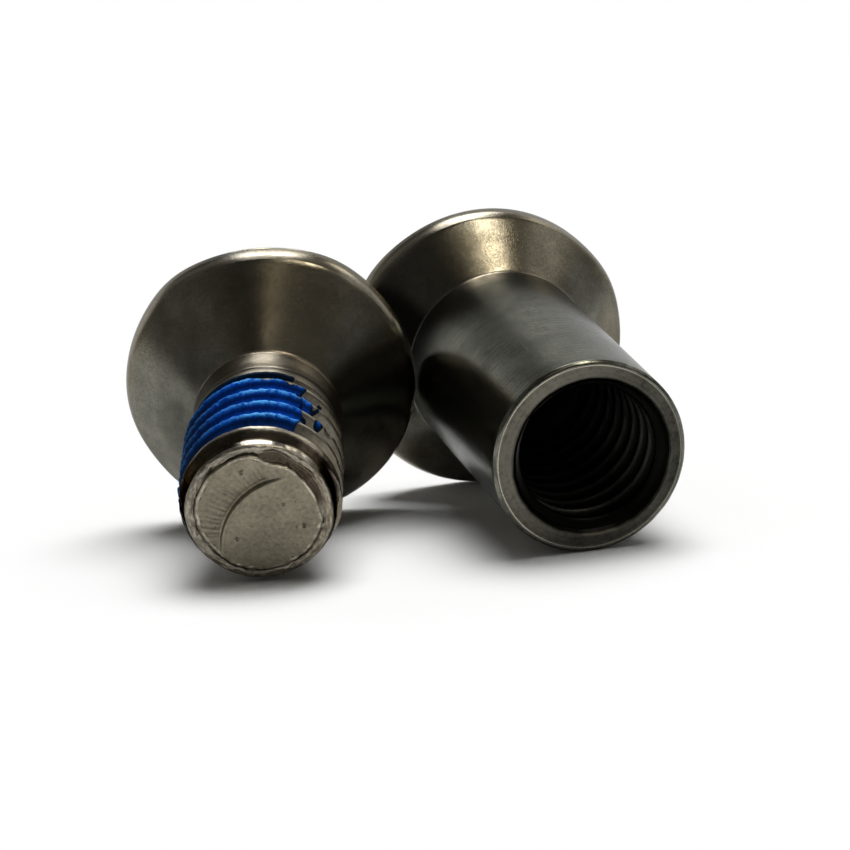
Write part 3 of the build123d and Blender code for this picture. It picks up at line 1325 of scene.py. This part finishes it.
        outer = self.screw.place.points(turn, metal + stand, height).reshape(-1, 3)
        inner = self.screw.place.points(turn, metal - 2.0 * self.buried, height).reshape(-1, 3)
        count = len(outer)
        number = np.arange(count).reshape(turn.shape)
        sheet = np.stack([number[:-1, :-1], number[:-1, 1:], number[1:, 1:], number[1:, :-1]], -1)
        sheet = sheet.reshape(-1, 4)
        border = np.concatenate(
            [number[0, :-1], number[:-1, -1], number[-1, :0:-1], number[:0:-1, 0]]
        )
        following = np.roll(border, -1)
        walls = np.stack([following, border, border + count, following + count], axis=-1)
        quads = np.vstack([sheet, sheet[:, ::-1] + count, walls])
        points, no_fans = np.vstack([outer, inner]), np.zeros((0, 3), dtype=int)
        piece = mesh_piece("screw_patch", points, quads, no_fans, np.zeros(len(quads)))

        thin_and_shaded = self.thinness_and_shade(turn, height, cut, cover)
        # Lighter crest lines: rubbed nylon, and a painted highlight where they face the light round
        # 84 degrees
        rubbed_and_highlight = bell(cut, 0.015, 0.045) * smoothstep(0.4, 0.9, cover)
        rubbed_and_highlight = rubbed_and_highlight * (0.12 + 0.88 * bell_at(turn, 84.0, 25.0))
        note_on_points(piece, "wear_and_painted_light", np.tile(thin_and_shaded.ravel(), 2))
        note_on_points(piece, "rubbed_and_highlight", np.tile(rubbed_and_highlight.ravel(), 2))
        nylon = BlueNylon().material(groups, self.screw.place)
        dress(piece, [nylon], "blue_nylon", "locking_patch")
        return piece


@dataclass
class BarrelNut:
    """Countersunk barrel nut: head, plain shank, bevelled mouth and a tapped blind hole."""

    head: Head
    place: Place
    thread: Thread
    length: float = 14.2
    radius: float = 3.65
    neck_round: float = 0.2
    cone_end: float = 2.68
    mouth_bevel: float = 0.1
    mouth_radius: float = 2.96
    minor_radius: float = 2.52
    opening_slope: float = 2.2
    hole_point: float = 3.6547
    drill_slope: float = math.tan(math.radians(59.0))
    bore_shift: tuple[float, float] = (0.10, -0.02)
    rows_per_pitch: int = 20
    lip_line: tuple[tuple[float, float], ...] = (
        (0.06, -0.02), (0.035, -0.035), (0.02, -0.07), (0.0, -0.08), (-0.03, -0.12), (-0.14, -0.26),
    )

    def outside(self) -> Array:
        """Profile from the land's corner down the cone and along the shank to the mouth.

        Returns:
            Array of (radius, height) rows.
        """
        reach = self.neck_round * math.tan(math.radians(22.5))
        top = self.head.land + self.head.radius - self.radius + reach
        down = cone_to_shank(
            self.head.corner(), self.radius, self.neck_round, top, np.linspace(45.0, 0.0, 6), 16
        )
        height = np.linspace(top + 0.05, self.length - self.mouth_bevel - 0.12, 24)
        return np.vstack([down, np.stack([np.full(24, self.radius), height], axis=-1)])

    def shift(self, turn: Array, radius: Array, amount: Array) -> tuple[Array, Array]:
        """Move circles off the axis by a share of bore_shift.

        Args:
            turn: angles of their points, in radians.
            radius: their radii.
            amount: the share of the shift that each takes.

        Returns:
            Angles and radii of the points, measured from the axis.
        """
        x = radius * np.cos(turn) + amount * self.bore_shift[0]
        y = radius * np.sin(turn) + amount * self.bore_shift[1]
        return np.arctan2(y, x), np.hypot(x, y)

    def mouth_parts(self, turn: Array) -> tuple[list[tuple], list[tuple], list[tuple]]:
        """Rows over the mouth's bevel, across its flat ring and over the lip of the bore.

        Args:
            turn: angles of the columns.

        Returns:
            Parts for Skin.gather: of the bevel, of the ring and of the lip.
        """
        top, edge = self.length, self.mouth_bevel
        level = np.zeros_like(turn)
        rough, slow = ripple(turn, level, 15, 26, 0.0), ripple(turn, level, 18, 6, 0.0)
        full, bevel = self.radius, self.radius - edge
        low = top - edge
        rim = rounded([(full, low - 0.06), (full, low), (bevel, top), (bevel - 0.05, top)])
        rim_radius, rim_height = rim[:, :1], rim[:, 1:]
        dents = 0.012 * np.clip(rough + 0.4, 0.0, 1.0) * bell(rim_height, top - edge / 2, 0.08)
        rim_lightening = 0.9 * bell(rim_height, top - edge, 0.05)
        rim_lightening = rim_lightening * (0.6 + 0.4 * np.clip(rough, -1.0, 1.0))

        ring = np.linspace(bevel - 0.1, self.mouth_radius + 0.14, 9)[:, None] + 0.0 * turn
        faced = 1.0 + np.clip(ripple(turn[None, :], ring * 4.0, 25, 12, 3.0), -1.0, 1.0)
        faced = faced * smoothstep(bevel - 0.1, bevel - 0.2, ring)
        # Painted light and shade: the ring is lighter to the upper left and darker to the lower
        # right
        ring_painted_shading = 0.40 + 0.38 * np.cos(turn - np.radians(150.0)) + 0.12 * slow

        lip = rounded([(self.mouth_radius + out, at) for out, at in self.lip_line], 1)
        lip_radius = lip[:, :1] + 0.015 * slow + 0.008 * rough
        lip_wear = 0.35 * bell(lip[:, 1:], -0.03, 0.015)
        lit = int(np.argmax(lip[:, 1] < -0.085))
        return (
            [(rim_radius - dents, rim_height, rim_lightening, Steel.TURNED)],
            [(ring, top - 0.012 - 0.010 * faced, np.clip(ring_painted_shading, 0.0, 1.0), Steel.MOUTH)],
            [
                (lip_radius[:lit], top + lip[:lit, 1:], lip_wear[:lit], Steel.MOUTH),
                (lip_radius[lit:], top + lip[lit:, 1:], 0.0, Steel.BORE),
            ],
        )

    def bore_parts(self, turn: Array) -> list[tuple]:
        """Rows down the tapped wall, which opens towards the mouth, and over the drilled point.

        Args:
            turn: angles of the columns.

        Returns:
            Parts for Skin.gather.
        """
        bottom = self.hole_point + self.minor_radius / self.drill_slope
        top = self.length - 0.3
        count = round((top - bottom) / self.thread.pitch * self.rows_per_pitch)
        height = np.linspace(top, bottom, count)[:, None]
        cut = self.thread.cut(turn[None, :], height)
        opening = self.mouth_radius - 0.16 - self.opening_slope * (self.length - 0.28 - height)
        wall = np.maximum(self.minor_radius + cut, opening)
        crest = 0.45 * bell(cut, 0.0, 0.08) * smoothstep(13.3, 12.8, height)
        # Painted light inside the bore near the mouth, round 148 degrees, over the rubbed crests
        crest = np.maximum(crest, bell_at(turn, 148.0, 26.0) * smoothstep(11.8, 13.4, height))
        point = np.linspace(0.92, 0.06, 6) * self.minor_radius
        return [
            (wall, height, crest, Steel.BORE),
            (point, self.hole_point + point / self.drill_slope, 0.0, Steel.BORE),
        ]

    def build(self, groups: Groups) -> bpy.types.Object:
        """Build and dress the barrel nut.

        Args:
            groups: the shared node groups.

        Returns:
            The piece.
        """
        turn = columns_round()
        bevel, ring, lip = self.mouth_parts(turn)
        inside = lip + self.bore_parts(turn)
        skin = Skin.gather(turn, self.head.parts(turn, self.outside()) + bevel + ring + inside)
        skin.refinish(Steel.TURNED, Steel.SHANK, self.cone_end)
        # Painted warm highlight on the shank under the neck, round 104 degrees, broken up at random
        highlight_breakup = np.clip(0.75 + 0.5 * uneven(turn, skin.height, 51, 9, 4.0), 0.0, 1.0)
        warm = bell_at(turn, 104.0, 15.0) * smoothstep(3.6, 2.9, skin.height) * highlight_breakup
        skin.wear_and_painted_light = np.where((skin.finish == STEEL_NUMBER[Steel.SHANK])[:, None], warm, skin.wear_and_painted_light)

        # The bore was drilled a little off the axis, so the ring runs from one middle to the other
        deep = sum(len(part[0]) for part in inside)
        across = len(ring[0][0])
        moved = np.zeros_like(skin.radius)
        moved[-deep:] = 1.0
        moved[-deep - across : -deep] = np.linspace(0.0, 1.0, across)[:, None]
        skin.turn, skin.radius = self.shift(turn[None, :], skin.radius, moved)
        floor = self.head.floor_point()
        piece = closed_turning("barrel_body", self.place, skin, floor, self.hole_point)
        dress(piece, steel_materials(groups, self.place), "dark_steel", "barrel_nut")
        return piece


# ---------------------------------------------------------------- studio


@dataclass(frozen=True)
class Panel:
    """Soft light as seen from the halves: its place, how wide and tall it looks, its radiance."""

    name: str
    azimuth: float
    elevation: float
    wide: float
    tall: float
    radiance: float
    colour: Colour = WHITE
    distance: float = 0.45
    shines: bool = True
    lights: bool = False


class Side(Enum):
    """The panels of the studio, by the side they stand on; azimuth 0 is the viewer's."""

    BEHIND = Panel("panel_behind", 180.0, 61.0, 24.0, 37.0, 7.5)
    RIGHT = Panel("panel_right", 52.0, 65.5, 10.0, 18.0, 13.0, WARM_LIGHT)
    SPILL = Panel("panel_spill", 26.0, 63.5, 15.0, 13.0, 1.5, WARM_LIGHT, distance=0.46)
    FRONT = Panel("panel_front", 2.0, 49.0, 7.0, 10.0, 1.3, (1.0, 0.90, 0.74), distance=0.44)
    WINDOW = Panel("panel_window", 88.0, 37.0, 30.0, 18.0, 0.75)
    EDGE = Panel("panel_edge", 128.0, 42.0, 16.0, 16.0, 2.2, WARM_LIGHT)
    ABOVE = Panel(
        "panel_above", 148.0, 76.0, 44.0, 44.0, 5.7, distance=0.40, shines=False, lights=True
    )


@dataclass
class Studio:
    """Pale floor, white backdrop, soft panels and the camera."""

    target: tuple[float, float, float] = (0.0, -0.002, 0.004)
    camera_place: tuple[float, float, float] = (0.929e-3, -165.7196e-3, 37.1658e-3)
    pitch: float = 0.198126
    roll: float = -0.066218
    lens: float = 190.588
    paper: Colour = (0.95, 0.955, 0.95)
    floor_rings: tuple[float, ...] = (0.02, 0.06, 0.12, 0.25, 0.6)
    floor_sides: int = 96
    shadow_reach: tuple[float, float] = (0.0115, 0.017)
    room: float = 0.055
    room_sides: float = 0.20
    room_colour: Colour = (1.0, 0.98, 0.93)

    def stand(self, data: object, place: Array, axes: list[Array]) -> bpy.types.Object:
        """Put a camera or a lamp somewhere, with its right, up and backward directions.

        Args:
            data: the camera or the lamp; its name is also the object's.
            place: where it stands, in metres.
            axes: its right, its up and the direction it faces away from.

        Returns:
            The object.
        """
        turned = Matrix(np.column_stack(axes).tolist()).to_4x4()
        thing = bpy.data.objects.new(data.name, data)
        thing.matrix_world = Matrix.Translation(tuple(place)) @ turned
        bpy.context.scene.collection.objects.link(thing)
        return thing

    def camera(self) -> None:
        """Place the camera and make it the scene's own.

        It looks along +Y, dipped by pitch and then rolled about its line of sight.
        """
        data = bpy.data.cameras.new("camera")
        data.lens = self.lens
        data.sensor_width = 36.0
        data.clip_start, data.clip_end = 0.01, 10.0
        ahead = np.array([0.0, math.cos(self.pitch), -math.sin(self.pitch)])
        over = np.array([0.0, math.sin(self.pitch), math.cos(self.pitch)])
        level = np.array([1.0, 0.0, 0.0])
        side = level * math.cos(self.roll) + over * math.sin(self.roll)
        top = -level * math.sin(self.roll) + over * math.cos(self.roll)
        camera = self.stand(data, np.array(self.camera_place), [side, top, -ahead])
        bpy.context.scene.camera = camera

    def hang(self, panel: Panel) -> None:
        """Hang a panel, facing the halves, with the power that gives it its radiance.

        An area lamp of radiance L sends out pi * L * area watts.

        Args:
            panel: which panel.
        """
        data = bpy.data.lights.new(panel.name, "AREA")
        data.shape = "RECTANGLE"
        data.size = 2.0 * panel.distance * math.tan(math.radians(panel.wide / 2.0))
        data.size_y = 2.0 * panel.distance * math.tan(math.radians(panel.tall / 2.0))
        data.energy = math.pi * panel.radiance * data.size * data.size_y
        data.color = panel.colour
        azimuth, elevation = math.radians(panel.azimuth), math.radians(panel.elevation)
        level = np.array([math.cos(azimuth), math.sin(azimuth), 0.0])
        outward = np.array([math.sin(azimuth), -math.cos(azimuth), 0.0])
        out = outward * math.cos(elevation) + np.array([0.0, 0.0, math.sin(elevation)])
        place = np.array(self.target) + panel.distance * out
        lamp = self.stand(data, place, [level, np.cross(out, level), out])
        lamp.visible_glossy = panel.shines
        lamp.visible_diffuse = panel.lights

    def floor_material(self) -> Material:
        """Paper that is matt near the halves, where shadows fall, and plain white further out.

        Returns:
            The material.
        """
        material, graph = new_material("white_paper")
        where = graph.add("TexCoord").outputs["Object"]
        reach = graph.add("VectorMath", {0: where}, operation="LENGTH").outputs["Value"]
        far = graph.spread(reach, *self.shadow_reach)
        matt = graph.add("BsdfDiffuse", {"Color": self.paper + (1.0,)})
        white = graph.add("Emission", {"Color": WHITE + (1.0,), "Strength": 1.0})
        light = graph.add("LightPath").outputs
        shiny = graph.maths("MAXIMUM", light["Is Glossy Ray"], light["Is Transmission Ray"])
        seen = graph.maths("MAXIMUM", light["Is Camera Ray"], shiny)
        inputs = {0: graph.times(far, seen), 1: matt.outputs[0], 2: white.outputs[0]}
        mix = graph.add("MixShader", inputs)
        graph.add("OutputMaterial", {"Surface": mix.outputs[0]})
        return material

    def floor(self) -> None:
        """Lay the floor: level rings of points round the halves, closed by a fan in the middle."""
        sides, rings = self.floor_sides, len(self.floor_rings)
        around = np.linspace(0.0, 2.0 * np.pi, sides, endpoint=False)
        reach = np.array(self.floor_rings)[:, None]
        level = np.zeros((rings, sides))
        grid = np.stack([reach * np.cos(around), reach * np.sin(around), level], axis=-1)
        points = np.vstack([grid.reshape(-1, 3), np.zeros((1, 3))])
        number = np.arange(rings * sides).reshape(rings, sides)
        beside = np.roll(number, -1, axis=1)
        quads = np.stack([number[:-1], number[1:], beside[1:], beside[:-1]], axis=-1)
        quads = quads.reshape(-1, 4)
        middle = np.stack([number[0], beside[0], np.full(sides, rings * sides)], axis=-1)
        floor = mesh_piece("floor", points, quads, middle, np.zeros(len(quads) + sides))
        floor.data.materials.append(self.floor_material())

    def surroundings(self) -> None:
        """Set the world: a dim room, and a white backdrop hung behind the halves.

        The backdrop fills the directions with a positive Y up to about 36 degrees; bright
        surfaces show it there, and the camera sees its white all round.
        """
        world = bpy.data.worlds.new("room")
        world.use_nodes = True
        bpy.context.scene.world = world
        graph = Graph(world.node_tree)
        where = graph.add("TexCoord").outputs["Generated"]
        x, y, z = graph.add("SeparateXYZ", {0: where}).outputs
        slant = graph.maths("SUBTRACT", z, graph.times(x, 0.25))
        hung = graph.times(graph.spread(y, -0.05, 0.80), graph.spread(slant, 0.50, 0.62, 1.0, 0.0))
        light = graph.add("LightPath").outputs
        shiny = graph.maths("MAXIMUM", light["Is Glossy Ray"], light["Is Transmission Ray"])
        seen = graph.maths("MAXIMUM", light["Is Camera Ray"], graph.times(shiny, hung))
        aside = graph.maths("ABSOLUTE", x)
        glow = graph.spread(aside, 0.2, 0.7, self.room, self.room_sides)
        dim = graph.add("Background", {"Color": self.room_colour + (1.0,), "Strength": glow})
        white = graph.add("Background", {"Color": WHITE + (1.0,), "Strength": 1.0})
        mix = graph.add("MixShader", {0: seen, 1: dim.outputs[0], 2: white.outputs[0]})
        graph.add("OutputWorld", {"Surface": mix.outputs[0]})

    def build(self) -> None:
        """Set up the whole studio."""
        self.camera()
        for side in Side:
            self.hang(side.value)
        self.floor()
        self.surroundings()
        bpy.context.scene.view_settings.view_transform = "Standard"
        log.info("studio: %d panels", len(Side))


def main() -> None:
    """Build the studio and the two halves, and report each piece."""
    logging.basicConfig(level=logging.INFO, format="%(name)s: %(message)s")
    Studio().build()
    groups = Groups()
    drive_middle = 0.9
    screw = Screw(
        head=Head(
            seed=3,
            lobes=(
                (60.0, 15.5, 0.09), (127.0, 16.0, 0.11), (180.0, 14.0, 0.012), (211.0, 14.0, -0.06),
            ),
            painted_shade=PaintedShadePatch(0.55, middle=195.0, width=50.0, low=1.2, high=3.2),
        ),
        place=Place.from_mount("screw_drive", drive_middle),
        thread=Thread(start=4.607, first=-0.6, full_from=1.1, fade_from=5.75, last=6.13),
    )
    screw.build(groups)
    LockingPatch(screw).build(groups)
    barrel = BarrelNut(
        head=Head(
            seed=4,
            lobes=((24.0, 15.0, 0.08), (142.0, 14.0, 0.07)),
            painted_shade=PaintedShadePatch(0.92, middle=165.0, width=44.0, low=0.7, high=1.2),
        ),
        place=Place.from_mount("barrel_drive", drive_middle),
        thread=Thread(
            start=4.3, first=0.0, full_from=0.5, fade_from=40.0, last=50.0,
            depth=0.48, crest_flat=0.25,
        ),
    )
    barrel.build(groups)


if __name__ == "__main__":
    main()
